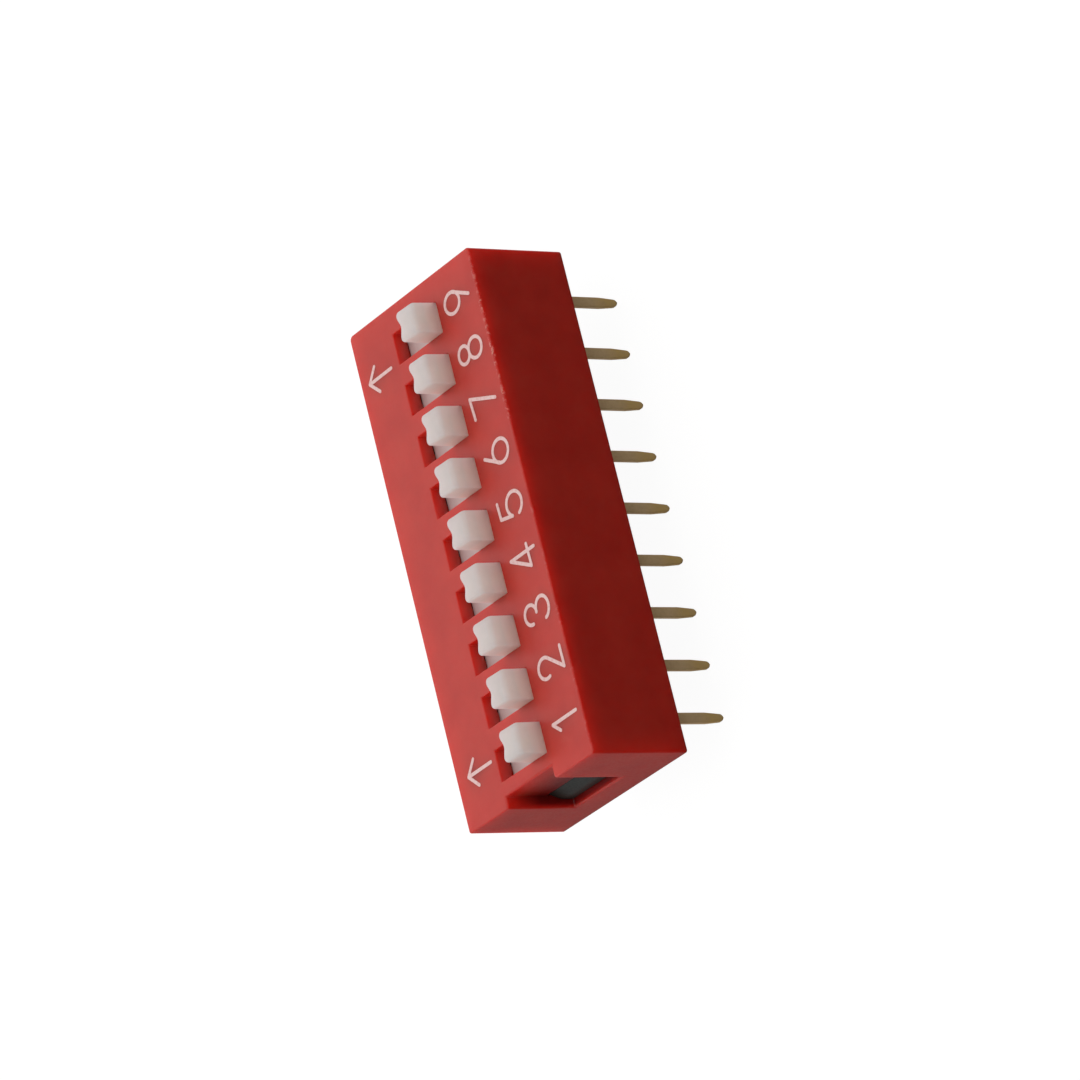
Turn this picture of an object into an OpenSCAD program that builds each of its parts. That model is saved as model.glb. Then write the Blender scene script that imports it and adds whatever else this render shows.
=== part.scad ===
// Slide DIP switch for a printed circuit board: a row of raised actuators in a one-piece
// cover, snapped over an insulating base that holds two rows of flat terminals.
// Each actuator carries a spring contact. At OFF both its feet stand on the terminal of the
// numbered side, and at ON one foot has crossed to the terminal opposite.
//
// Frame: the origin is the centre of the terminal grid on the seating plane, which is the
// lower rim of the cover. +X runs from position 1 to the last position, +Y points to the
// ON side and +Z points up. The actuators are drawn at OFF.

/* [Positions] */
// Number of switch positions
poles = 9; // [2:1:12]
// Distance from one position to the next
pole_pitch = 2.54; // [2.5:0.01:3.2]
// Distance between the two rows of terminals
row_spacing = 7.62; // [6.2:0.02:9.4]
// Travel of an actuator from OFF to ON
travel = 2.15; // [1.7:0.05:2.6]

/* [Cover] */
// Height of the cover above the board
cover_h = 5.3; // [4.3:0.1:7]
// Thickness of the top wall
cover_top = 0.75; // [0.5:0.05:0.95]
// Thickness of the long side walls
cover_side = 0.7; // [0.4:0.05:1.2]
// Thickness of the end walls where they are recessed
cover_end = 0.4; // [0.3:0.05:0.7]
// Radius of the four upright edges
corner_r = 0.3; // [0.1:0.05:0.6]
// Radius of the edges around the top
top_edge_r = 0.12; // [0.05:0.01:0.3]

/* [End recess] */
// Width of the latch windows and of the recess in the end of position 1
recess_w = 3.56; // [2:0.02:5]
// Depth of the recess, by which the end walls are thicker everywhere else
recess_depth = 0.58; // [0.4:0.02:1]
// Height of the ledge at the foot of the recess and the windows
ledge_z = 1.55; // [1.2:0.05:1.9]
// Height of the latch window above the ledge
window_h = 1.4; // [0.9:0.05:1.7]

/* [Base] */
// Thickness of the base's floor
floor_t = 1.9; // [1.7:0.05:2.4]
// Height of the base's underside above the board
base_lift = 0.3; // [0.1:0.05:0.5]
// Wall outside each row of terminals
terminal_wall = 0.215; // [0.15:0.005:0.6]
// How far each latch stands out past the recess floor
latch_out = 0.18; // [0.05:0.01:0.35]
// Width and depth of the channel along the underside
channel = [3.2, 0.35]; // [0.2:0.05:4]

/* [Actuator] */
// Width of the knob along the row
knob_w = 1.4; // [1.2:0.05:1.7]
// Length of the knob in the sliding direction
knob_l = 1.35; // [1:0.05:1.7]
// Height of the knob above the cover
knob_h = 1.32; // [0.3:0.02:2]
// Lean of the knob's face on the numbered side
knob_lean = 0.1; // [0:0.01:0.2]
// Radius of the knob's upright edges
knob_r = 0.14; // [0.04:0.01:0.17]
// Width of the fingertip hollow in each face
hollow_w = 1.05; // [0.6:0.05:1.1]
// Depth of the hollow on the ON side and on the numbered side
hollow_depths = [0.13, 0.08]; // [0.02:0.01:0.16]
// Thickness of the sliding plate
plate_t = 0.65; // [0.4:0.05:0.8]
// Overlap of the plate on each long edge of its slot
plate_side_lap = 0.125; // [0.05:0.005:0.16]
// Overlap of the plate on the end of its slot at each limit
plate_end_lap = 0.12; // [0.05:0.01:0.3]
// Thickness of the two skirts that flank the contact
skirt_t = 0.28; // [0.2:0.01:0.32]
// Length of the skirts
skirt_l = 4.2; // [3.6:0.1:4.8]
// Radius of the peg that carries the contact
peg_r = 0.2; // [0.12:0.01:0.26]

/* [Spring contact] */
// Thickness of the contact strip
contact_t = 0.12; // [0.08:0.01:0.16]
// Width of the contact strip
contact_w = 1; // [0.7:0.02:1.04]
// From the middle of the contact to each foot
foot_reach = 1.44; // [1.2:0.02:1.6]
// Outer radius of each foot
foot_r = 0.24; // [0.2:0.01:0.28]
// Half length of the flat middle of the contact
contact_flat = 0.5; // [0.4:0.01:0.6]
// Width of the slit that splits each arm in two
slit_w = 0.2; // [0.1:0.02:0.3]

/* [Terminals] */
// Length of the pins below the seating plane
pin_l = 3.3; // [2.4:0.1:4.5]
// Width of the pins
pin_w = 0.5; // [0.4:0.01:0.6]
// Thickness of the terminal strip
strip_t = 0.25; // [0.2:0.01:0.3]
// Width of the pads under the contact and of the shoulders
pad_w = 0.9; // [0.8:0.02:1.2]
// Inside radius of the bend between pad and pin
bend_r = 0.2; // [0.1:0.01:0.25]
// Height of the shoulders' lower edge
shoulder_z = 0.95; // [0.7:0.05:1.1]
// Width of the pins at their tips
tip_w = 0.36; // [0.26:0.01:0.4]
// Length of the taper at the tips
tip_l = 1; // [0.4:0.05:1.4]
// Gap between the two pads of a position
pad_gap = 0.5; // [0.4:0.02:0.7]
// How far the pad runs on past the foot that rests on it
foot_land = 0.225; // [0.15:0.005:0.3]

/* [Clearances] */
// Knob to each long edge of its slot
slot_side_gap = 0.05; // [0.03:0.01:0.12]
// Knob to the end of its slot at each limit
slot_end_gap = 0.03; // [0.02:0.01:0.1]
// Sliding plate to the ceiling of the cover
plate_gap = 0.08; // [0.03:0.01:0.15]
// Sliding plate to the side wall at each limit
plate_run_gap = 0.15; // [0.08:0.01:0.4]
// Sliding plate to the rib on each side of it
plate_rib_gap = 0.095; // [0.05:0.005:0.15]
// Sliding plate of the first and last position to the end wall
plate_wall_gap = 0.165; // [0.1:0.005:0.4]
// Base to the inside of the cover
base_gap = 0.05; // [0.02:0.01:0.1]
// Skirts to the floor of the base
skirt_gap = 0.15; // [0.08:0.01:0.3]
// Contact feet to the pads, and contact to plate and peg
contact_gap = 0.02; // [0.01:0.005:0.04]
// Terminal strip to its slot in the base
strip_gap = 0.02; // [0.01:0.005:0.04]

/* [Hidden] */
$fn = 64;
ON = 1;
NUMBERS = -1;
cut = 0.5;

floor_z = base_lift + floor_t;
ceiling_z = cover_h - cover_top;
plate_top = ceiling_z - plate_gap;
plate_z = plate_top - plate_t;

slot_w = knob_w + 2 * slot_side_gap;
slot_l = travel + knob_l + 2 * slot_end_gap;
plate_w = slot_w + 2 * plate_side_lap;
plate_l = slot_l + travel + 2 * plate_end_lap;
rib_t = pole_pitch - plate_w - 2 * plate_rib_gap;
off_y = -travel / 2;

// The inside is as wide as the sliding plates or the terminal rows need, whichever is more.
plate_room = travel / 2 + plate_l / 2 + plate_run_gap;
row_y = row_spacing / 2;
terminal_room = row_y + strip_t / 2 + terminal_wall + base_gap;
cavity_w = 2 * max(plate_room, terminal_room);
cover_w = cavity_w + 2 * cover_side;
cavity_l = (poles - 1) * pole_pitch + plate_w + 2 * plate_wall_gap;
recess_x = cavity_l / 2 + cover_end;
cover_l = 2 * (recess_x + recess_depth);

base_l = cavity_l - 2 * base_gap;
base_w = cavity_w - 2 * base_gap;
rib_top = ceiling_z - base_gap;
latch_z = ledge_z + base_gap;
latch_top = ledge_z + window_h - base_gap;
latch_w = recess_w - 2 * base_gap;

pad_z = floor_z - strip_t;
bend_y = row_y - strip_t / 2 - bend_r;
numbers_pad_end = off_y + foot_reach + foot_land;
on_pad_start = numbers_pad_end + pad_gap;

contact_z = plate_z - contact_gap - contact_t / 2;
foot_z = floor_z + contact_gap + foot_r;

// Place of a position along the row.
function pole_x(i) = (i - (poles + 1) / 2) * pole_pitch;

// Radius of the arc that is w wide and d deep.
function arc_r(w, d) = (w * w / 4 + d * d) / (2 * d);

// Rectangle centred on the origin with round corners.
module rounded_plan(l, w, r) {
    square([l - 2 * r, w], center = true);
    square([l, w - 2 * r], center = true);
    for (x = [-1, 1], y = [-1, 1])
        translate([x * (l / 2 - r), y * (w / 2 - r)]) circle(r = r);
}

// Rectangle that stands on the first axis, with its two upper corners round.
module rounded_front(l, h, r) {
    translate([-l / 2, 0]) square([l, h - r]);
    translate([-l / 2 + r, 0]) square([l - 2 * r, h]);
    for (x = [-1, 1]) translate([x * (l / 2 - r), h - r]) circle(r = r);
}

// Profile in y and z, extruded to a width centred on x = 0.
module across(w) {
    rotate([90, 0, 90]) linear_extrude(w, center = true) children();
}

// Profile in x and z, extruded to a length centred on y = 0.
module along(l) {
    rotate([90, 0, 0]) linear_extrude(l, center = true) children();
}

// ---- Cover ----

module cover_block() {
    intersection() {
        linear_extrude(cover_h) rounded_plan(cover_l, cover_w, corner_r);
        along(cover_w) rounded_front(cover_l, cover_h, top_edge_r);
        across(cover_l) rounded_front(cover_w, cover_h, top_edge_r);
    }
}

module actuator_slot() {
    translate([-slot_w / 2, -slot_l / 2, ceiling_z - cut])
        cube([slot_w, slot_l, cover_top + 2 * cut]);
}

// Recess in the +X end, open at the top and closed below by a ledge.
module end_recess() {
    translate([recess_x, -recess_w / 2, ledge_z])
        cube([recess_depth + cut, recess_w, cover_h - ledge_z + cut]);
}

// Window through the +X end wall for the latch of the base.
module latch_window() {
    translate([cavity_l / 2 - cut, -recess_w / 2, ledge_z])
        cube([cover_end + recess_depth + 2 * cut, recess_w, window_h]);
}

module cover() {
    color([0.62, 0.13, 0.12]) difference() {
        cover_block();
        translate([-cavity_l / 2, -cavity_w / 2, -cut])
            cube([cavity_l, cavity_w, ceiling_z + cut]);
        for (i = [1 : poles]) translate([pole_x(i), 0, 0]) actuator_slot();
        for (end = [0, 1]) mirror([end, 0, 0]) latch_window();
        mirror([1, 0, 0]) end_recess();
    }
}

// ---- Terminals ----

// Pad, bend and pin of the ON side in y and z, grown by gap on every face.
module strip_profile(pad_start, pin_end, gap) {
    translate([pad_start - gap, pad_z - gap])
        square([bend_y - pad_start + gap, strip_t + 2 * gap]);
    translate([bend_y, pad_z - bend_r]) intersection() {
        difference() {
            circle(r = bend_r + strip_t + gap);
            circle(r = bend_r - gap);
        }
        square(2 * (bend_r + strip_t));
    }
    translate([row_y - strip_t / 2 - gap, pin_end])
        square([strip_t + 2 * gap, pad_z - bend_r - pin_end]);
}

// Outline of the strip seen from its side of the switch: shoulders, pin and tapered round tip.
module strip_outline(gap) {
    upper_w = pad_w + 2 * gap;
    lower_w = pin_w + 2 * gap;
    translate([-upper_w / 2, shoulder_z - gap]) square([upper_w, floor_z + cut - shoulder_z + gap]);
    translate([-lower_w / 2, -pin_l + tip_l]) square([lower_w, pin_l - tip_l + shoulder_z]);
    polygon([
        [-lower_w / 2, -pin_l + tip_l],
        [-tip_w / 2, -pin_l + tip_w / 2],
        [tip_w / 2, -pin_l + tip_w / 2],
        [lower_w / 2, -pin_l + tip_l]
    ]);
    translate([0, -pin_l + tip_w / 2]) circle(d = tip_w);
}

// Terminal of the ON side at x = 0. With a gap it is the room that the base leaves for it.
module terminal(pad_start, gap = 0) {
    intersection() {
        across(pad_w + 2 * gap) strip_profile(pad_start, -pin_l, gap);
        along(4 * row_spacing) strip_outline(gap);
    }
}

// Terminal of either side in its place.
module placed_terminal(i, side, gap = 0) {
    pad_start = side == ON ? on_pad_start : -numbers_pad_end;
    translate([pole_x(i), 0, 0]) mirror([0, side == ON ? 0 : 1, 0]) terminal(pad_start, gap);
}

module numbers_terminal(i) {
    color([0.72, 0.58, 0.34]) placed_terminal(i, NUMBERS);
}

module on_terminal(i) {
    color([0.72, 0.58, 0.34]) placed_terminal(i, ON);
}

// ---- Base ----

// Latch at the +X end: flat below, so that it holds on the ledge, and sloped above.
module latch() {
    latch_x = recess_x + latch_out;
    along(latch_w) polygon([
        [base_l / 2 - cut, latch_z],
        [latch_x, latch_z],
        [latch_x, (latch_z + latch_top) / 2],
        [recess_x - base_gap, latch_top],
        [base_l / 2, latch_top],
        [base_l / 2, floor_z],
        [base_l / 2 - cut, floor_z]
    ]);
}

module base() {
    color([0.09, 0.1, 0.09]) difference() {
        union() {
            translate([-base_l / 2, -base_w / 2, base_lift]) cube([base_l, base_w, floor_t]);
            for (i = [1 : poles - 1])
                translate([(pole_x(i) + pole_x(i + 1) - rib_t) / 2, -base_w / 2, base_lift])
                    cube([rib_t, base_w, rib_top - base_lift]);
            for (end = [0, 1]) mirror([end, 0, 0]) latch();
        }
        for (i = [1 : poles], side = [NUMBERS, ON]) placed_terminal(i, side, strip_gap);
        translate([-base_l / 2 - cut, -channel[0] / 2, base_lift - cut])
            cube([base_l + 2 * cut, channel[0], channel[1] + cut]);
    }
}

// ---- Sliders and contacts ----

// Plan of the knob: round corners, and a hollow in the face towards each end of the travel.
module knob_plan() {
    on_r = arc_r(hollow_w, hollow_depths[0]);
    numbers_r = arc_r(hollow_w, hollow_depths[1]);
    difference() {
        rounded_plan(knob_w, knob_l, knob_r);
        translate([0, knob_l / 2 - hollow_depths[0] + on_r]) circle(r = on_r);
        translate([0, -knob_l / 2 + hollow_depths[1] - numbers_r]) circle(r = numbers_r);
    }
}

// Knob from the sliding plate up, with the numbered side leaning back above the cover.
module knob() {
    knob_top = cover_h + knob_h;
    intersection() {
        translate([0, 0, plate_top - cut / 2])
            linear_extrude(knob_top - plate_top + cut / 2) knob_plan();
        across(2 * knob_w) polygon([
            [-knob_l / 2, 0],
            [knob_l / 2, 0],
            [knob_l / 2, knob_top],
            [-knob_l / 2 + knob_lean, knob_top],
            [-knob_l / 2, cover_h]
        ]);
    }
}

module slider(i) {
    skirt_z = floor_z + skirt_gap;
    color([0.85, 0.83, 0.8]) translate([pole_x(i), off_y, 0]) {
        knob();
        translate([-plate_w / 2, -plate_l / 2, plate_z]) cube([plate_w, plate_l, plate_t]);
        for (x = [-plate_w / 2, plate_w / 2 - skirt_t])
            translate([x, -skirt_l / 2, skirt_z]) cube([skirt_t, skirt_l, plate_z - skirt_z + plate_t / 2]);
        translate([0, 0, contact_z - contact_t])
            cylinder(r = peg_r, h = plate_z - contact_z + contact_t + plate_t / 2);
    }
}

// Straight piece of the contact's profile from p to q, with round ends.
module strip_run(p, q) {
    run = q - p;
    translate(p) rotate(atan2(run[1], run[0]))
        translate([0, -contact_t / 2]) square([norm(run), contact_t]);
    for (end = [p, q]) translate(end) circle(d = contact_t);
}

// One half of the contact's profile in y and z: flat middle, arm and upturned foot.
module contact_profile() {
    strip_run([0, contact_z], [contact_flat, contact_z]);
    strip_run([contact_flat, contact_z], [foot_reach - foot_r + contact_t / 2, foot_z]);
    translate([foot_reach, foot_z]) intersection() {
        difference() {
            circle(r = foot_r);
            circle(r = foot_r - contact_t);
        }
        translate([-foot_r, -foot_r]) square([2 * foot_r, foot_r]);
    }
}

module contact(i) {
    color([0.78, 0.66, 0.38]) translate([pole_x(i), off_y, 0]) difference() {
        for (side = [0, 1]) mirror([0, side, 0]) across(contact_w) contact_profile();
        translate([0, 0, contact_z])
            cylinder(r = peg_r + contact_gap, h = 4 * contact_t, center = true);
        for (side = [0, 1]) mirror([0, side, 0])
            translate([-slit_w / 2, contact_flat, 0]) cube([slit_w, 2 * foot_reach, ceiling_z]);
    }
}

cover();
base();
for (i = [1 : poles]) slider(i);
for (i = [1 : poles]) contact(i);
for (i = [1 : poles]) numbers_terminal(i);
for (i = [1 : poles]) on_terminal(i);
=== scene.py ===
import math

import bmesh
import bpy
import numpy as np
from mathutils import Matrix, Vector, geometry


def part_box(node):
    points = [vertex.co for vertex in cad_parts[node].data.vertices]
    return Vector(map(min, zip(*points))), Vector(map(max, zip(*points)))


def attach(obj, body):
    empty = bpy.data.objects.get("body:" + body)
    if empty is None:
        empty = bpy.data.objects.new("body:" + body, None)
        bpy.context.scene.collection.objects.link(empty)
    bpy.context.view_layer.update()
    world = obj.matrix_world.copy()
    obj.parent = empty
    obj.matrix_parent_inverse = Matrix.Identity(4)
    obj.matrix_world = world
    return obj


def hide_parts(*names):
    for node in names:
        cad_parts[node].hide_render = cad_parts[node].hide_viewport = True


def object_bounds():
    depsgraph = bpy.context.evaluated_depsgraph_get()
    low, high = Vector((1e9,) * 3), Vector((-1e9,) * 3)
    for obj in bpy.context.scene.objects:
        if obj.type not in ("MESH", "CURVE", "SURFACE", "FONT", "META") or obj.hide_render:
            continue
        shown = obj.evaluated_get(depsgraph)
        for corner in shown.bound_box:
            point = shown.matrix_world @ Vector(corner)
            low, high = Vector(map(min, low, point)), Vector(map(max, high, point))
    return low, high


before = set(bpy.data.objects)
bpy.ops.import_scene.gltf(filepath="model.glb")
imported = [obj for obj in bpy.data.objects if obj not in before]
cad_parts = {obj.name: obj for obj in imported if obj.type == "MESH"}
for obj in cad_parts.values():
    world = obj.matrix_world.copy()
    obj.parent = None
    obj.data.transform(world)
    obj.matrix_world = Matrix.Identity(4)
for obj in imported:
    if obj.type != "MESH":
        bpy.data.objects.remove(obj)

# Slide DIP switch. Lengths and places are in millimetres and turn into metres where a mesh,
# a camera or a material is made. +X runs from position 1 to the last, +Y is the ON side.
# Names with _R are radii, with _T thicknesses, and with _X, _Y or _Z places along an axis.
MM = 0.001
X, Y, Z = 0, 1, 2
CAD_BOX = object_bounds()
POLES = len([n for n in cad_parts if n.startswith("slider_")])

# Cover, with its end recess on the -X side
SLOT_W, SLOT_L = 1.5, 3.56
CEILING_Z = 4.55
CAVITY_L, CAVITY_W = 22.4, 8.4
RECESS_W, RECESS_X = 3.56, 11.6
LEDGE_Z, WINDOW_TOP_Z = 1.55, 2.95
CORNER_R = {(1, 1): 0.25, (1, -1): 0.14, (-1, 1): 0.12, (-1, -1): 0.12}  # by side in X and Y
TOP_EDGE_R, FOOT_R, SLOT_RIM_R, INNER_R = 0.08, 0.09, 0.06, 0.05
RECESS_RIM_R, RECESS_SIDE_R = 0.1, 0.25
CORNER_STEPS, EDGE_STEPS = 9, 5
SHARP_ANGLE = math.radians(40)

# Nicks and a painted highlight along the cover's upper edge on the numbers side
RIDGE_Y, RIDGE_Z = -4.9, 5.3
NICK_AND_HIGHLIGHT_REACH, NICK_AND_HIGHLIGHT_FULL = 0.16, 0.03
NICKS_AND_HIGHLIGHT_FROM_X, NICKS_AND_HIGHLIGHT_TO_X = 0.0, 9.0

# Painted shade in the end recess, darker red: distances from the middle along X, and heights
SHADE_OUTER_X, SHADE_FULL_X, SHADE_INNER_X = 12.17, 11.95, 11.4
SHADE_TOP_Z, SHADE_LOW_Z = 4.7, 3.4

# Actuator
KNOB_W, KNOB_L = 1.48, 1.35
KNOB_LEAN = 0.1
KNOB_R_ON, KNOB_R_NUMBERS = 0.22, 0.07
HOLLOW_ON, HOLLOW_NUMBERS = 0.16, 0.03
KNOB_TOP_R_ON, KNOB_TOP_R_NUMBERS = 0.1, 0.24
STRAIGHT_END = 0.05
PLATE_GAP, PLATE_T, PLATE_EDGE_R = 0.08, 0.65, 0.06
SKIRT_T, SKIRT_L, SKIRT_Z, SKIRT_EDGE_R = 0.28, 4.2, 2.35, 0.05
PEG_R, PEG_CHAMFER = 0.2, 0.04
# Heights of the painted red bounce light at the knob's foot, of the painted light on the plate,
# and of the translucency's fade
PAINTED_FOOT_BOUNCE_Z, PAINTED_PLATE_LIGHT_Z, TRANSLUCENT_Z = (6.0, 5.3), (5.2, 4.6), (4.6, 5.8)

# Terminals
STRIP_T, STRIP_R = 0.25, 0.055
PIN_W, TIP_W, TIP_L = 0.5, 0.36, 1.0
SHOULDER_Z, SHOULDER_DROP, SHOULDER_CHAMFER = 0.95, 0.05, 0.06
PAD_END, PAD_CHAMFER = 0.02, 0.04
BEND_R = 0.2
TIP_ANGLES = [20, 38, 54, 67, 77, 84]
TIP_COLOR_Z = (-1.8, -2.6)

# Base
BASE_EDGE_R = 0.03

# Print
STROKE = 0.165
INK_T, INK_WALL = 0.012, 0.018
DIGIT_W, DIGIT_H = 1.05, 1.8
DIGIT_SHIFT, BASELINE_Y = 0.14, -4.35
ARROW_Y, ARROW_H, ARROW_HEAD = 2.3, 1.8, 0.62
FIRST_ARROW_SHIFT, LAST_ARROW_SHIFT = 0.4, -0.6
PRINT_TILT = math.radians(0.7)

# Camera and stage
VIEW_AZIMUTH, VIEW_ELEVATION, VIEW_ROLL = -23.65, 37.07, 89.23
VIEW_DISTANCE, VIEW_LENS = 305.0, 227.5
VIEW_AIM = (-0.683, -1.693, 2.65)
FLOOR_SIZE, FLOOR_COLOR, FLOOR_GLOW = 4000, 0.1, 0.94
LIGHT_LEVEL, LIGHT_SLOPE = 0.437, (0.1, 0.2276, 0.5236)


def box_mm(node):
    """Lowest and highest corner of a CAD node, in millimetres."""
    low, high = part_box(node)
    return low / MM, high / MM


def pole_x(position):
    low, high = box_mm(f"slider_{position}")
    return (low.x + high.x) / 2


def new_object(name, mesh):
    piece = bpy.data.objects.new(name, mesh)
    bpy.context.scene.collection.objects.link(piece)
    return piece


def mesh_from(name, points, faces):
    """Mesh in metres from points in millimetres."""
    mesh = bpy.data.meshes.new(name)
    mesh.from_pydata([Vector(p) * MM for p in points], [], faces)
    mesh.validate()
    return mesh


def shade_smooth(mesh):
    mesh.polygons.foreach_set("use_smooth", [True] * len(mesh.polygons))


def weighted_normals(piece):
    modifier = piece.modifiers.new("weighted normals", "WEIGHTED_NORMAL")
    modifier.keep_sharp = False
    modifier.weight = 70


def take_place(piece, body, slot, material, *nodes):
    """Gives a piece its body and material, and hides the CAD nodes it stands for. slot is not
    used.
    """
    piece.data.materials.clear()
    piece.data.materials.append(material)
    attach(piece, body)
    if nodes:
        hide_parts(*nodes)


# ---- Solids made of box cells ----

def face_corners(cell, axis, side):
    """Grid corners of a cell's face across an axis, low side 0 or high side 1."""
    u, v = (axis + 1) % 3, (axis + 2) % 3
    corners = []
    for du, dv in ((0, 0), (1, 0), (1, 1), (0, 1)):
        at = list(cell)
        at[axis] += side
        at[u] += du
        at[v] += dv
        corners.append(tuple(at))
    return corners


def cell_solid(xs, ys, zs, filled):
    """Closed shell round the filled cells of a grid. filled(x, y, z) is asked at each middle."""
    grids = [sorted(set(round(v, 6) for v in values)) for values in (xs, ys, zs)]
    counts = [len(g) - 1 for g in grids]

    def is_filled(cell):
        if any(c < 0 or c >= n for c, n in zip(cell, counts)):
            return False
        middle = [(g[c] + g[c + 1]) / 2 for g, c in zip(grids, cell)]
        return filled(*middle)

    index, faces = {}, []
    for cell in filter(is_filled, np.ndindex(*counts)):
        for axis in range(3):
            for side in (0, 1):
                neighbour = list(cell)
                neighbour[axis] += 1 if side else -1
                if is_filled(neighbour):
                    continue
                loop = [index.setdefault(c, len(index)) for c in face_corners(cell, axis, side)]
                faces.append(loop if side else loop[::-1])
    points = [(grids[0][i], grids[1][j], grids[2][k]) for i, j, k in index]
    return points, faces


# ---- Cover ----

def cover_is_filled(x, y, z):
    in_cavity = abs(x) < CAVITY_L / 2 and abs(y) < CAVITY_W / 2 and z < CEILING_Z
    in_slot = z > CEILING_Z and abs(y) < SLOT_L / 2 and any(
        abs(x - pole_x(i)) < SLOT_W / 2 for i in range(1, POLES + 1))
    in_recess = x < -RECESS_X and abs(y) < RECESS_W / 2 and z > LEDGE_Z
    in_window = abs(x) > CAVITY_L / 2 and abs(y) < RECESS_W / 2 and LEDGE_Z < z < WINDOW_TOP_Z
    return not (in_cavity or in_slot or in_recess or in_window)


def cover_mesh():
    low, high = box_mm("cover")
    xs = [s * v for s in (-1, 1) for v in (high.x, CAVITY_L / 2)] + [-RECESS_X]
    xs += [pole_x(i) + s * SLOT_W / 2 for i in range(1, POLES + 1) for s in (-1, 1)]
    ys = [s * v for s in (-1, 1) for v in (high.y, CAVITY_W / 2, SLOT_L / 2)]
    zs = [low.z, LEDGE_Z, WINDOW_TOP_Z, CEILING_Z, high.z]
    points, faces = cell_solid(xs, ys, zs, cover_is_filled)
    mesh = mesh_from("cover_shell", points, faces)
    bm = bmesh.new()
    bm.from_mesh(mesh)
    round_upright_corners(bm, high)
    weight_cover_edges(bm, low, high)
    bm.to_mesh(mesh)
    bm.free()
    return mesh


def round_upright_corners(bm, high):
    """Rounds the four outer upright edges of the cover, each by its own radius."""
    tiny = 1e-7
    for (side_x, side_y), radius in CORNER_R.items():
        edges = []
        for e in bm.edges:
            a, b = (v.co for v in e.verts)
            at_corner = all(abs(p.x - side_x * high.x * MM) < tiny
                            and abs(p.y - side_y * high.y * MM) < tiny for p in (a, b))
            if at_corner:
                edges.append(e)
        bmesh.ops.bevel(bm, geom=edges, offset=radius * MM, offset_type="OFFSET",
                        segments=CORNER_STEPS, profile=0.5, affect="EDGES")


def cover_edge_radius(middle, low, high):
    """How far a sharp edge of the cover is rounded, from the place of its middle."""
    close = 1e-3
    widest = max(CORNER_R.values())
    outside = high.x - abs(middle.x) < widest + close or high.y - abs(middle.y) < close
    in_recess = middle.x < -RECESS_X + close and abs(middle.y) < RECESS_W / 2 + close
    if in_recess and middle.z > LEDGE_Z - close:
        at_worn_side = middle.x < -RECESS_X - close and middle.y < -RECESS_W / 2 + close
        return RECESS_SIDE_R if at_worn_side else RECESS_RIM_R
    if high.z - middle.z < close:
        return TOP_EDGE_R if outside else SLOT_RIM_R
    if middle.z - low.z < close and outside:
        return FOOT_R
    return INNER_R


def weight_cover_edges(bm, low, high):
    """Marks how far each sharp edge of the cover is rounded, as a share of the widest."""
    layer = bm.edges.layers.float.new("bevel_weight_edge")
    for e in bm.edges:
        if len(e.link_faces) == 2 and e.calc_face_angle() > SHARP_ANGLE:
            middle = (e.verts[0].co + e.verts[1].co) / 2 / MM
            e[layer] = cover_edge_radius(middle, low, high) / RECESS_SIDE_R


def make_cover(material):
    piece = new_object("cover_shell", cover_mesh())
    shade_smooth(piece.data)
    bevel = piece.modifiers.new("moulded edges", "BEVEL")
    bevel.limit_method = "WEIGHT"
    bevel.width = RECESS_SIDE_R * MM
    bevel.segments = EDGE_STEPS
    bevel.use_clamp_overlap = False
    weighted_normals(piece)
    take_place(piece, "housing", "cover_red", material, "cover")


# ---- Actuators ----

def arc(cx, cy, rx, ry, start, end, count):
    """Points on an arc of an ellipse, angles in degrees, both ends included."""
    angles = np.radians(np.linspace(start, end, count))
    return [(cx + rx * math.cos(t), cy + ry * math.sin(t)) for t in angles]


def knob_face(side, half_w, y, z, corner_r, depth):
    """One face across the travel with its two round corners and a soft hollow between them.
    It runs counter-clockwise round the knob."""
    half = half_w - corner_r
    face = arc(half, y - corner_r, corner_r, corner_r, 0, 90, 7)
    for x in np.linspace(half, -half, 17)[1:-1]:
        face.append((x, y - depth * (0.5 + 0.5 * math.cos(math.pi * x / half))))
    face += arc(-half, y - corner_r, corner_r, corner_r, 90, 180, 7)
    return [(side * x, side * y, z) for x, y in face]


def loft(name, rings):
    """Closed shell through rings of equal length, listed from the bottom up."""
    count = len(rings[0])
    points = [p for ring in rings for p in ring]
    faces = [list(range(count))[::-1]]
    for k in range(len(rings) - 1):
        for i in range(count):
            j = (i + 1) % count
            faces.append([k * count + i, k * count + j, (k + 1) * count + j, (k + 1) * count + i])
    faces.append([(len(rings) - 1) * count + i for i in range(count)])
    return mesh_from(name, points, faces)


def knob_ring(z_on, z_numbers, inset, lean):
    """Ring round the knob at a height for each of its two faces. inset is how far its rounded
    top has drawn the ring in, as a share of the top's radius."""
    half_w = KNOB_W / 2 - KNOB_TOP_R_ON * inset
    y_on = KNOB_L / 2 - KNOB_TOP_R_ON * inset
    y_numbers = KNOB_L / 2 - lean - KNOB_TOP_R_NUMBERS * inset
    corner_on = KNOB_R_ON - KNOB_TOP_R_ON * inset
    return (knob_face(1, half_w, y_on, z_on, corner_on, HOLLOW_ON)
            + knob_face(-1, half_w, y_numbers, z_numbers, KNOB_R_NUMBERS, HOLLOW_NUMBERS))


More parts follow.
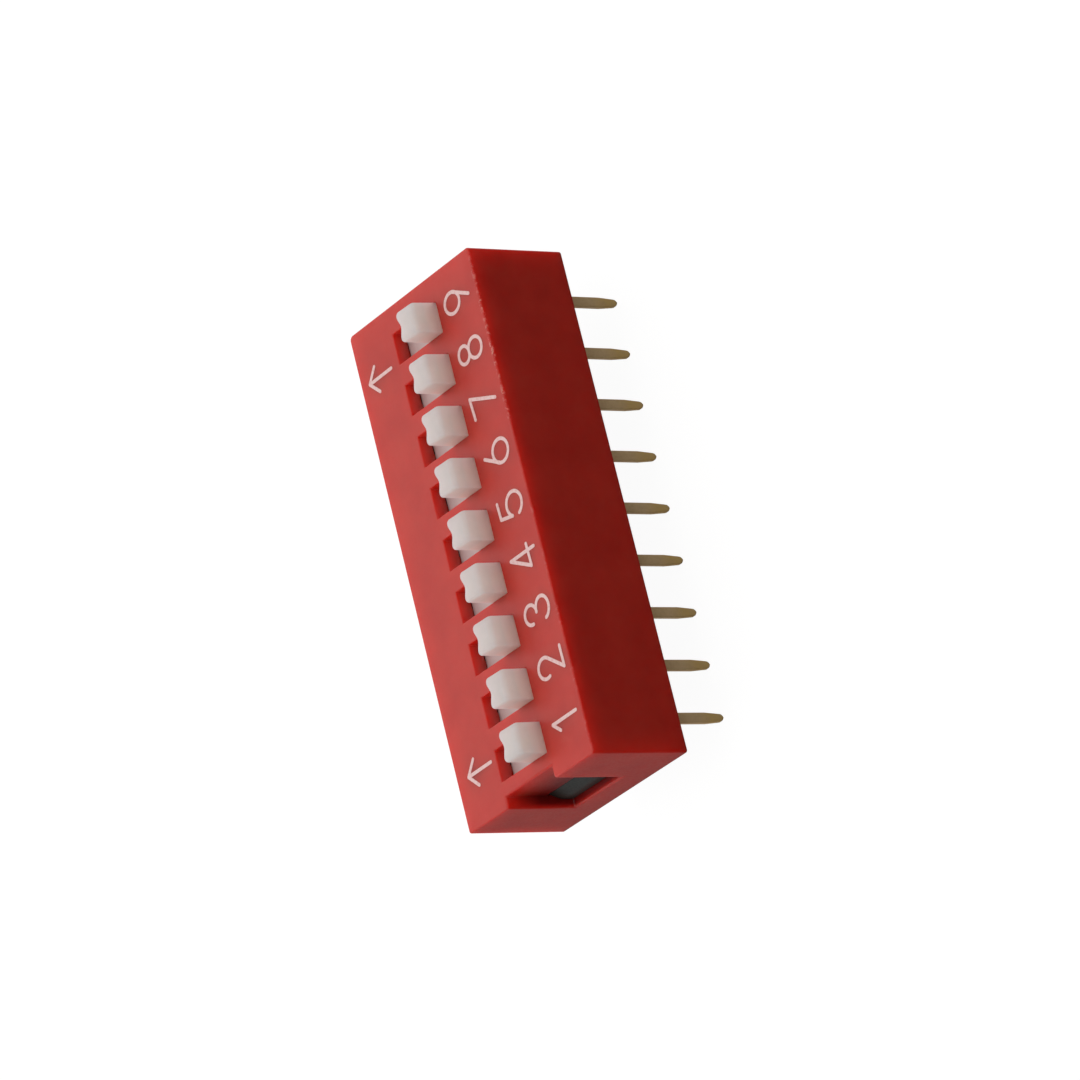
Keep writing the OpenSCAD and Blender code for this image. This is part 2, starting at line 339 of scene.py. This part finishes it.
def knob_mesh(bottom_z, rim_z, top_z):
    """Knob from inside the plate up. The face on the numbers side leans in above the slot."""
    def lean(z):
        return KNOB_LEAN * max(z - rim_z, 0) / (top_z - rim_z)

    bend_z = top_z - KNOB_TOP_R_NUMBERS
    heights = (bottom_z, rim_z, (rim_z + bend_z) / 2, bend_z - STRAIGHT_END)
    rings = [knob_ring(z, z, 0, lean(z)) for z in heights]
    for turn in np.radians(np.linspace(1, 90, 9)):
        rise, inset = math.sin(turn), 1 - math.cos(turn)
        z_on = bend_z + KNOB_TOP_R_ON * rise + (KNOB_TOP_R_NUMBERS - KNOB_TOP_R_ON)
        z_numbers = bend_z + KNOB_TOP_R_NUMBERS * rise
        rings.append(knob_ring(z_on, z_numbers, inset, lean(z_numbers)))
    return loft("knob", rings)


def box_mesh(name, low, high, radius):
    """Box with rounded edges."""
    points, faces = cell_solid(*zip(low, high), lambda x, y, z: True)
    mesh = mesh_from(name, points, faces)
    bm = bmesh.new()
    bm.from_mesh(mesh)
    bmesh.ops.bevel(bm, geom=bm.edges[:], offset=radius * MM, offset_type="OFFSET", segments=3,
                    profile=0.5, affect="EDGES")
    bm.to_mesh(mesh)
    bm.free()
    return mesh


def peg_mesh(bottom_z, top_z):
    angles = np.linspace(0, 2 * math.pi, 32, endpoint=False)
    radii = [(PEG_R - PEG_CHAMFER, bottom_z), (PEG_R, bottom_z + PEG_CHAMFER), (PEG_R, top_z)]
    return loft("peg", [[(r * math.cos(t), r * math.sin(t), z) for t in angles] for r, z in radii])


def joined(name, meshes):
    """One solid made of several that overlap."""
    parts = [new_object(f"{name}_{i}", mesh) for i, mesh in enumerate(meshes)]
    first, others = parts[0], parts[1:]
    for other in others:
        union = first.modifiers.new("join", "BOOLEAN")
        union.operation = "UNION"
        union.solver = "EXACT"
        union.object = other
    graph = bpy.context.evaluated_depsgraph_get()
    mesh = bpy.data.meshes.new_from_object(first.evaluated_get(graph))
    mesh.name = name
    for part in parts:
        bpy.data.objects.remove(part)
    return mesh


def slider_mesh():
    """Actuator with its middle at the origin of x and y."""
    low, high = box_mm("slider_1")
    cover_top = box_mm("cover")[1].z
    half_w, half_l = (high.x - low.x) / 2, (high.y - low.y) / 2
    plate_top = CEILING_Z - PLATE_GAP
    plate_z = plate_top - PLATE_T
    body = [knob_mesh(plate_top - PLATE_T / 2, cover_top, high.z)]
    body.append(box_mesh("plate", (-half_w, -half_l, plate_z), (half_w, half_l, plate_top),
                         PLATE_EDGE_R))
    for x in (-half_w, half_w - SKIRT_T):
        body.append(box_mesh("skirt", (x, -SKIRT_L / 2, SKIRT_Z),
                             (x + SKIRT_T, SKIRT_L / 2, plate_z + PLATE_T / 2), SKIRT_EDGE_R))
    body.append(peg_mesh(low.z, plate_z + PLATE_T / 2))
    return joined("slider", body)


def make_sliders(material):
    master = slider_mesh()
    for i in range(1, POLES + 1):
        low, high = box_mm(f"slider_{i}")
        mesh = master.copy()
        mesh.transform(Matrix.Translation(Vector((pole_x(i), (low.y + high.y) / 2, 0)) * MM))
        shade_smooth(mesh)
        piece = new_object(f"moulded_slider_{i}", mesh)
        weighted_normals(piece)
        take_place(piece, f"actuator_{i}", "slider_white", material, f"slider_{i}")


# ---- Terminals ----

def strip_section(width):
    """Section of the strip across its run: width by thickness, with round corners."""
    r = min(STRIP_R, width * 0.45)
    cx, cy = width / 2 - r, STRIP_T / 2 - r
    return (arc(cx, cy, r, r, 0, 90, 5) + arc(-cx, cy, r, r, 90, 180, 5)
            + arc(-cx, -cy, r, r, 180, 270, 5) + arc(cx, -cy, r, r, 270, 360, 5))


def strip_stations(run, pad_z, tip_z, pad_w):
    """Middle line of a strip as (run, height, direction angle, width), from the pad to the tip.
    run is the length of the flat pad."""
    bend = BEND_R + STRIP_T / 2
    stations = [(0, pad_z, 0, pad_w - PAD_CHAMFER), (PAD_END, pad_z, 0, pad_w),
                (run, pad_z, 0, pad_w)]
    for turn in np.radians(np.linspace(10, 90, 9)):
        z = pad_z - bend * (1 - math.cos(turn))
        stations.append((run + bend * math.sin(turn), z, turn, pad_w))
    shoulder = [(SHOULDER_Z + SHOULDER_DROP, pad_w), (SHOULDER_Z, pad_w - SHOULDER_CHAMFER),
                (SHOULDER_Z, PIN_W)]
    return stations + [(run + bend, z, math.pi / 2, w) for z, w in shoulder + pin_widths(tip_z)]


def pin_widths(tip_z):
    """Height and width of the pin below its shoulder: straight, tapered, then round."""
    taper_z, centre_z = tip_z + TIP_L, tip_z + TIP_W / 2
    widths = [(z, PIN_W) for z in np.linspace(SHOULDER_Z - 0.1, taper_z, 6)]
    for z in np.linspace(taper_z, centre_z, 8)[1:]:
        share = (taper_z - z) / (TIP_L - TIP_W / 2)
        widths.append((z, PIN_W + (TIP_W - PIN_W) * share))
    for turn in np.radians(TIP_ANGLES):
        widths.append((centre_z - TIP_W / 2 * math.sin(turn), TIP_W * math.cos(turn)))
    return widths


def terminal_mesh(node):
    low, high = box_mm(node)
    side = 1 if low.y + high.y > 0 else -1
    pin_y = (high.y if side > 0 else -low.y) - STRIP_T / 2
    pad_start = low.y if side > 0 else -high.y
    run = pin_y - BEND_R - STRIP_T / 2 - pad_start
    x_middle = (low.x + high.x) / 2
    rings = []
    for along, z, turn, width in strip_stations(run, high.z - STRIP_T / 2, low.z, high.x - low.x):
        out_y, out_z = math.sin(turn), math.cos(turn)
        rings.append([(x_middle + u, side * (pad_start + along + v * out_y), z + v * out_z)
                      for u, v in strip_section(width)])
    if side > 0:  # keeps the faces outward on both sides
        rings = [ring[::-1] for ring in rings]
    return loft(node, rings)


def make_terminals(material):
    for side in ("numbers", "on"):
        for i in range(1, POLES + 1):
            node = f"{side}_terminal_{i}"
            mesh = terminal_mesh(node)
            shade_smooth(mesh)
            piece = new_object(f"{side}_pin_{i}", mesh)
            weighted_normals(piece)
            take_place(piece, "housing", "pin_gold", material, node)


# ---- Base ----

def make_base(material):
    """The base with every edge of its moulding softened."""
    weld_gap, flat_angle = 2e-7, math.radians(0.5)
    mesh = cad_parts["base"].data.copy()
    bm = bmesh.new()
    bm.from_mesh(mesh)
    bmesh.ops.remove_doubles(bm, verts=bm.verts, dist=weld_gap)
    bmesh.ops.dissolve_limit(bm, angle_limit=flat_angle, verts=bm.verts, edges=bm.edges)
    bm.to_mesh(mesh)
    bm.free()
    piece = new_object("base_moulding", mesh)
    shade_smooth(mesh)
    bevel = piece.modifiers.new("moulded edges", "BEVEL")
    bevel.limit_method = "ANGLE"
    bevel.angle_limit = SHARP_ANGLE
    bevel.width = BASE_EDGE_R * MM
    bevel.segments = 2
    weighted_normals(piece)
    take_place(piece, "housing", "base_black", material, "base")


# ---- Contacts ----

def finish_contacts(material):
    """The contacts keep their CAD meshes and get a material."""
    for i in range(1, POLES + 1):
        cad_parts[f"contact_{i}"].material_slots[0].material = material


# ---- Print ----

def stadium(a, b, half):
    """Outline of a short stroke from a to b with round ends."""
    a, b = Vector(a), Vector(b)
    heading = math.degrees(math.atan2(b.y - a.y, b.x - a.x))
    outline = arc(b.x, b.y, half, half, heading - 90, heading + 90, 9)
    outline += arc(a.x, a.y, half, half, heading + 90, heading + 270, 9)
    return outline


def digit_strokes(digit):
    """Middle lines of a digit's strokes in a cell DIGIT_W wide and DIGIT_H high, from its
    lower left corner."""
    w, h, m = DIGIT_W, DIGIT_H, DIGIT_W / 2
    if digit == 1:
        return [[(m - 0.42, h - 0.46), (m, h), (m, 0)]]
    if digit == 2:
        return [arc(m - 0.03, 1.32, 0.48, 0.5, 203, -38, 22) + [(0.07, 0), (w, 0)]]
    if digit == 3:
        upper = arc(m, 1.37, 0.45, 0.44, 185, -90, 22)
        return [upper, arc(m, 0.47, 0.53, 0.47, 92, -168, 24)]
    if digit == 4:
        return [[(w, 0.48), (0, 0.46), (0.74, h), (0.74, 0)]]
    if digit == 5:
        flag = [(0.95, h - 0.05), (0.19, h - 0.08), (0.03, 0.87)]
        return [flag + arc(0.5, 0.57, 0.56, 0.57, 148, -159, 26)]
    if digit == 6:
        return [[(0.63, h), (0.06, 0.82)], arc(m + 0.01, 0.58, 0.54, 0.58, 0, 360, 34)]
    if digit == 7:
        return [[(0, h - 0.08), (1.02, h - 0.02), (0.35, 0)]]
    if digit == 8:
        upper = arc(0.49, 1.37, 0.42, 0.4, -90, 270, 28)
        return [upper, arc(0.49, 0.49, 0.48, 0.49, 90, 450, 32)]
    return [[(0.38, 0), (0.97, 1.12)], arc(0.5, 1.28, 0.49, 0.56, 0, 360, 34)]


def arrow_strokes():
    """Arrow that points to the ON side, from the middle of its foot."""
    barb_y = ARROW_H - ARROW_HEAD
    return [[(0, 0), (0, ARROW_H)], [(-ARROW_HEAD, barb_y), (0, ARROW_H), (ARROW_HEAD, barb_y)]]


def union_triangles(outlines):
    """Triangles that cover the union of flat outlines, with their points."""
    flat = [Vector(p) for outline in outlines for p in outline]
    faces, start = [], 0
    for outline in outlines:
        faces.append(list(range(start, start + len(outline))))
        start += len(outline)
    points, _, triangles, _, _, inside = geometry.delaunay_2d_cdt(flat, [], faces, 0, 1e-5, True)
    return points, [t for t, outlines_round_it in zip(triangles, inside) if outlines_round_it]


def in_fixed_order(points, triangles):
    """The same triangles in an order that depends on their places alone, because the
    triangulation lists them in another order each run. Those too thin to count are left out."""
    places = [(round(p.x, 5), round(p.y, 5)) for p in points]
    used = sorted({places[i] for triangle in triangles for i in triangle})
    rank = {place: i for i, place in enumerate(used)}
    ordered = []
    for triangle in triangles:
        corners = [rank[places[i]] for i in triangle]
        first = corners.index(min(corners))
        corners = tuple(corners[first:] + corners[:first])
        if len(set(corners)) == 3:
            ordered.append(corners)
    return used, sorted(set(ordered))


def ink_mesh(name, strokes, place):
    """Thin raised print: the union of all strokes, with a flat top and low side walls."""
    outlines = []
    for stroke in strokes:
        for a, b in zip(stroke, stroke[1:]):
            outlines.append(stadium(a, b, STROKE / 2))
    top, triangles = in_fixed_order(*union_triangles(outlines))
    sides = {(t[k], t[(k + 1) % 3]) for t in triangles for k in range(3)}
    rim = sorted((a, b) for a, b in sides if (b, a) not in sides)
    under = {a: len(top) + k for k, a in enumerate(sorted({a for a, _ in rim}))}
    walls = [(b, a, under[a], under[b]) for a, b in rim]
    top_z = box_mm("cover")[1].z + INK_T
    points = [place @ Vector((*p, top_z)) for p in top]
    points += [place @ Vector((*top[a], top_z - INK_WALL)) for a in under]
    mesh = mesh_from(name, points, triangles + walls)
    bm = bmesh.new()
    bm.from_mesh(mesh)
    bmesh.ops.dissolve_limit(bm, angle_limit=math.radians(1), verts=bm.verts, edges=bm.edges)
    bm.to_mesh(mesh)
    bm.free()
    return mesh


def print_place(x, y):
    """Place of a print cell whose corner is at (x, y), with the whole print tilted a little."""
    tilt = Matrix.Rotation(PRINT_TILT, 4, "Z")
    return tilt @ Matrix.Translation((x, y, 0))


def make_print(material):
    marks = []
    for i in range(1, POLES + 1):
        place = print_place(pole_x(i) + DIGIT_SHIFT - DIGIT_W / 2, BASELINE_Y)
        marks.append((f"print_digit_{i}", digit_strokes(i), place))
    for name, x in (("print_arrow_first", pole_x(1) + FIRST_ARROW_SHIFT),
                    ("print_arrow_last", pole_x(POLES) + LAST_ARROW_SHIFT)):
        marks.append((name, arrow_strokes(), print_place(x, ARROW_Y)))
    for name, strokes, place in marks:
        piece = new_object(name, ink_mesh(name, strokes, place))
        take_place(piece, "housing", "print_white", material)


# ---- Materials ----

class Finish:
    """A node material built round one Principled shader. Sizes of its patterns are in mm."""

    def __init__(self, name, roughness, metallic=0.0, specular=0.5):
        self.material = bpy.data.materials.new(name)
        self.material.use_nodes = True
        self.nodes = self.material.node_tree.nodes
        self.links = self.material.node_tree.links
        self.shader = self.nodes["Principled BSDF"]
        self.shader.inputs["Roughness"].default_value = roughness
        self.shader.inputs["Metallic"].default_value = metallic
        self.shader.inputs["Specular IOR Level"].default_value = specular
        self.place = self.nodes.new("ShaderNodeTexCoord").outputs["Object"]

    def noise(self, size, detail=2.0, stretch=(1, 1, 1)):
        """Noise whose patches are about size across, from 0 to 1."""
        scaled = self.nodes.new("ShaderNodeVectorMath")
        scaled.operation = "MULTIPLY"
        scaled.inputs[1].default_value = [1 / (size * MM * s) for s in stretch]
        pattern = self.nodes.new("ShaderNodeTexNoise")
        pattern.inputs["Scale"].default_value = 1
        pattern.inputs["Detail"].default_value = detail
        self.links.new(self.place, scaled.inputs[0])
        self.links.new(scaled.outputs[0], pattern.inputs["Vector"])
        return pattern.outputs["Fac"]

    def along(self, axis, start, end, to_start=0.0, to_end=1.0):
        """to_start before start and to_end past end along an axis, both in mm."""
        split = self.nodes.new("ShaderNodeSeparateXYZ")
        self.links.new(self.place, split.inputs[0])
        return self.ramp(split.outputs[axis], start * MM, end * MM, to_start, to_end)

    def within(self, axis, wide, narrow):
        """0 further than wide from the middle of an axis and 1 nearer than narrow, in mm."""
        split = self.nodes.new("ShaderNodeSeparateXYZ")
        self.links.new(self.place, split.inputs[0])
        square = self.times(split.outputs[axis], split.outputs[axis])
        return self.ramp(square, (wide * MM) ** 2, (narrow * MM) ** 2)

    def ramp(self, value, low, high, to_low=0.0, to_high=1.0):
        """value from low to high becomes to_low to to_high."""
        node = self.nodes.new("ShaderNodeMapRange")
        node.inputs["From Min"].default_value = low
        node.inputs["From Max"].default_value = high
        node.inputs["To Min"].default_value = to_low
        node.inputs["To Max"].default_value = to_high
        self.links.new(value, node.inputs["Value"])
        return node.outputs["Result"]

    def times(self, first, *others):
        for other in others:
            node = self.nodes.new("ShaderNodeMath")
            node.operation = "MULTIPLY"
            self.links.new(first, node.inputs[0])
            self.links.new(other, node.inputs[1])
            first = node.outputs[0]
        return first

    def mix(self, share, a, b):
        """Colour from a to b. Each is a colour or another node's output."""
        node = self.nodes.new("ShaderNodeMix")
        node.data_type = "RGBA"
        self.links.new(share, node.inputs["Factor"])
        for name, value in (("A", a), ("B", b)):
            socket = [s for s in node.inputs if s.name == name and s.type == "RGBA"][0]
            if isinstance(value, tuple):
                socket.default_value = (*value, 1)
            else:
                self.links.new(value, socket)
        return [s for s in node.outputs if s.type == "RGBA"][0]

    def color(self, output):
        self.links.new(output, self.shader.inputs["Base Color"])

    def roughness(self, output):
        self.links.new(output, self.shader.inputs["Roughness"])

    def bump(self, output, depth, below=None):
        """Relief depth deep, in mm, on top of the relief below."""
        node = self.nodes.new("ShaderNodeBump")
        node.inputs["Strength"].default_value = 1
        node.inputs["Distance"].default_value = depth * MM
        self.links.new(output, node.inputs["Height"])
        if below is not None:
            self.links.new(below, node.inputs["Normal"])
        self.links.new(node.outputs["Normal"], self.shader.inputs["Normal"])
        return node.outputs["Normal"]

    def clear_from_behind(self):
        """The surface is seen only from the side that it faces."""
        output = self.nodes["Material Output"]
        side = self.nodes.new("ShaderNodeNewGeometry")
        clear = self.nodes.new("ShaderNodeBsdfTransparent")
        choice = self.nodes.new("ShaderNodeMixShader")
        self.links.new(side.outputs["Backfacing"], choice.inputs[0])
        self.links.new(self.shader.outputs[0], choice.inputs[1])
        self.links.new(clear.outputs[0], choice.inputs[2])
        self.links.new(choice.outputs[0], output.inputs["Surface"])

    def translucent(self, reach, color_reach, share=None):
        """Light enters and leaves again up to reach mm away, by colour. share is how much of
        it does, if that is not all of it everywhere."""
        self.shader.inputs["Subsurface Weight"].default_value = 1.0
        self.shader.inputs["Subsurface Scale"].default_value = reach * MM
        self.shader.inputs["Subsurface Radius"].default_value = color_reach
        if share is not None:
            self.links.new(share, self.shader.inputs["Subsurface Weight"])


def ridge_nicks_and_highlight(finish):
    """Share of light nicks and a painted highlight along the upper edge on the numbers side,
    most near position 9.
    """
    to_side = finish.along(Y, RIDGE_Y + NICK_AND_HIGHLIGHT_REACH, RIDGE_Y + NICK_AND_HIGHLIGHT_FULL)
    to_top = finish.along(Z, RIDGE_Z - NICK_AND_HIGHLIGHT_REACH, RIDGE_Z)
    towards_9 = finish.along(X, NICKS_AND_HIGHLIGHT_FROM_X, NICKS_AND_HIGHLIGHT_TO_X, 0.25, 1.0)
    # Spots of light nicks; the thin lighter line they lie on is a painted highlight
    nicks = finish.ramp(finish.noise(0.15, 3), 0.5, 0.62)
    stretches = finish.ramp(finish.noise(1.3), 0.42, 0.62, 0.1, 1.0)
    return finish.times(to_side, to_top, towards_9, nicks, stretches)


def painted_recess_shade(finish):
    """Share of painted shade by how deep a place lies in the end recess: 0 outside it, 1 low down
    inside.
    """
    inward = finish.along(X, -SHADE_OUTER_X, -SHADE_FULL_X)
    near_end = finish.along(X, -SHADE_INNER_X, -SHADE_INNER_X - 0.1)
    low_down = finish.along(Z, SHADE_TOP_Z, SHADE_LOW_Z)
    above_ledge = finish.along(Z, LEDGE_Z - 0.15, LEDGE_Z - 0.05)
    between_walls = finish.within(Y, RECESS_W / 2 * 1.3, RECESS_W / 2 * 1.1)
    return finish.times(inward, near_end, between_walls, low_down, above_ledge)


def red_plastic():
    finish = Finish("cover_red_moulded", 0.4, specular=0.54)
    flow = finish.ramp(finish.noise(1.6, 3), 0.3, 0.7)
    body = finish.mix(flow, (0.60, 0.025, 0.013), (0.67, 0.036, 0.019))
    # Painted shade: darker red low down in the end recess
    deep = finish.mix(painted_recess_shade(finish), body, (0.24, 0.003, 0.002))
    # Painted highlight and light nicks along the upper edge on the numbers side
    finish.color(finish.mix(ridge_nicks_and_highlight(finish), deep, (0.95, 0.45, 0.38)))
    finish.roughness(finish.ramp(finish.noise(0.12), 0.3, 0.7, 0.36, 0.44))
    waves = finish.bump(finish.noise(0.8), 0.006)
    finish.bump(finish.noise(0.08), 0.0006, waves)
    finish.translucent(2.0, (1.0, 0.05, 0.03))
    return finish.material


def white_nylon():
    """White moulding, with painted red bounce light at the knob's foot as the cover's red light
    falls there, and painted lighter, pinker light on its plate. Its plate lets less light in
    than its knob."""
    finish = Finish("slider_white_moulded", 0.36)
    flow = finish.ramp(finish.noise(0.5), 0.3, 0.7)
    body = finish.mix(flow, (0.68, 0.65, 0.59), (0.72, 0.68, 0.62))
    # Painted red bounce light at the knob's foot
    with_painted_foot_bounce = finish.mix(finish.along(Z, *PAINTED_FOOT_BOUNCE_Z), body, (1.0, 0.72, 0.62))
    # Painted lighter, pinker light on the plate in the slot
    finish.color(finish.mix(finish.along(Z, *PAINTED_PLATE_LIGHT_Z), with_painted_foot_bounce, (0.80, 0.70, 0.67)))
    finish.roughness(finish.ramp(finish.noise(0.12), 0.3, 0.7, 0.3, 0.42))
    finish.bump(finish.noise(0.25, 3), 0.003)
    finish.translucent(5.0, (1.0, 0.88, 0.76), finish.along(Z, *TRANSLUCENT_Z, 0.1, 1.0))
    return finish.material


def black_plastic():
    finish = Finish("base_black_moulded", 0.4)
    finish.color(finish.mix(finish.noise(0.7), (0.010, 0.013, 0.010), (0.018, 0.024, 0.019)))
    finish.roughness(finish.ramp(finish.noise(0.1), 0.3, 0.7, 0.36, 0.5))
    finish.bump(finish.noise(0.07, 3), 0.002)
    return finish.material


def plated_strip():
    """Plated strip, more olive at the tip, with faint marks along its run and duller patches."""
    finish = Finish("pin_gold_plated", 0.5, 0.35)
    to_tip = finish.along(Z, *TIP_COLOR_Z)
    body = finish.mix(to_tip, (1.0, 0.70, 0.38), (0.96, 0.64, 0.24))
    tarnish = finish.ramp(finish.noise(0.2, 4), 0.45, 0.75, 0.0, 0.6)
    finish.color(finish.mix(tarnish, body, (0.86, 0.58, 0.28)))
    finish.roughness(finish.ramp(finish.noise(0.1), 0.3, 0.7, 0.42, 0.56))
    finish.bump(finish.noise(0.03, 2, (1, 1, 25)), 0.001)
    return finish.material


def spring_strip():
    finish = Finish("contact_gold_plated", 0.35, 1.0)
    finish.color(finish.mix(finish.noise(0.3), (0.80, 0.60, 0.30), (0.90, 0.70, 0.38)))
    finish.roughness(finish.ramp(finish.noise(0.08), 0.3, 0.7, 0.28, 0.42))
    return finish.material


def ink():
    """Pad-printed ink, thinner in places so that the red shows through."""
    finish = Finish("print_white_ink", 0.55)
    thin = finish.ramp(finish.noise(0.14, 3), 0.48, 0.8, 0.0, 0.6)
    finish.color(finish.mix(thin, (0.96, 0.66, 0.63), (0.80, 0.30, 0.27)))
    finish.bump(finish.noise(0.05), 0.002)
    return finish.material


# ---- Stage ----

def make_floor():
    """Pale floor that only the camera sees, and only from above. It takes a faint shadow."""
    half = FLOOR_SIZE / 2
    z = CAD_BOX[0].z / MM
    corners = [(-half, -half, z), (half, -half, z), (half, half, z), (-half, half, z)]
    floor = new_object("floor", mesh_from("floor", corners, [[0, 1, 2, 3]]))
    finish = Finish("floor_white", 0.9)
    finish.shader.inputs["Base Color"].default_value = (*[FLOOR_COLOR] * 3, 1)
    finish.shader.inputs["Emission Color"].default_value = (1, 1, 1, 1)
    finish.shader.inputs["Emission Strength"].default_value = FLOOR_GLOW
    finish.clear_from_behind()
    floor.data.materials.append(finish.material)
    floor.visible_diffuse = False
    floor.visible_glossy = False
    floor.visible_transmission = False
    floor.visible_shadow = False


def make_light():
    """Light tent: brightness grows smoothly towards the top and the ON side."""
    world = bpy.data.worlds.new("light_tent")
    bpy.context.scene.world = world
    world.use_nodes = True
    nodes, links = world.node_tree.nodes, world.node_tree.links
    direction = nodes.new("ShaderNodeTexCoord")
    slope = nodes.new("ShaderNodeVectorMath")
    slope.operation = "DOT_PRODUCT"
    slope.inputs[1].default_value = LIGHT_SLOPE
    level = nodes.new("ShaderNodeMath")
    level.operation = "ADD"
    level.inputs[1].default_value = LIGHT_LEVEL
    positive = nodes.new("ShaderNodeMath")
    positive.operation = "MAXIMUM"
    positive.inputs[1].default_value = 0.0
    links.new(direction.outputs["Generated"], slope.inputs[0])
    links.new(slope.outputs["Value"], level.inputs[0])
    links.new(level.outputs[0], positive.inputs[0])
    nodes["Background"].inputs["Color"].default_value = (1, 1, 1, 1)
    links.new(positive.outputs[0], nodes["Background"].inputs["Strength"])


def make_camera():
    azimuth, elevation = math.radians(VIEW_AZIMUTH), math.radians(VIEW_ELEVATION)
    back = Vector((math.sin(azimuth) * math.cos(elevation),
                   -math.cos(azimuth) * math.cos(elevation), math.sin(elevation)))
    camera = bpy.data.objects.new("camera", bpy.data.cameras.new("camera"))
    bpy.context.scene.collection.objects.link(camera)
    camera.data.lens = VIEW_LENS
    camera.data.clip_start = 0.01
    camera.data.clip_end = 10
    turn = (-back).to_track_quat("-Z", "Y").to_matrix().to_4x4()
    roll = Matrix.Rotation(-math.radians(VIEW_ROLL), 4, "Z")
    place = Matrix.Translation((Vector(VIEW_AIM) + back * VIEW_DISTANCE) * MM)
    camera.matrix_world = place @ turn @ roll
    bpy.context.scene.camera = camera


bpy.context.scene.view_settings.view_transform = "Standard"
make_camera()
make_floor()
make_light()
make_cover(red_plastic())
make_sliders(white_nylon())
make_terminals(plated_strip())
make_base(black_plastic())
make_print(ink())
finish_contacts(spring_strip())
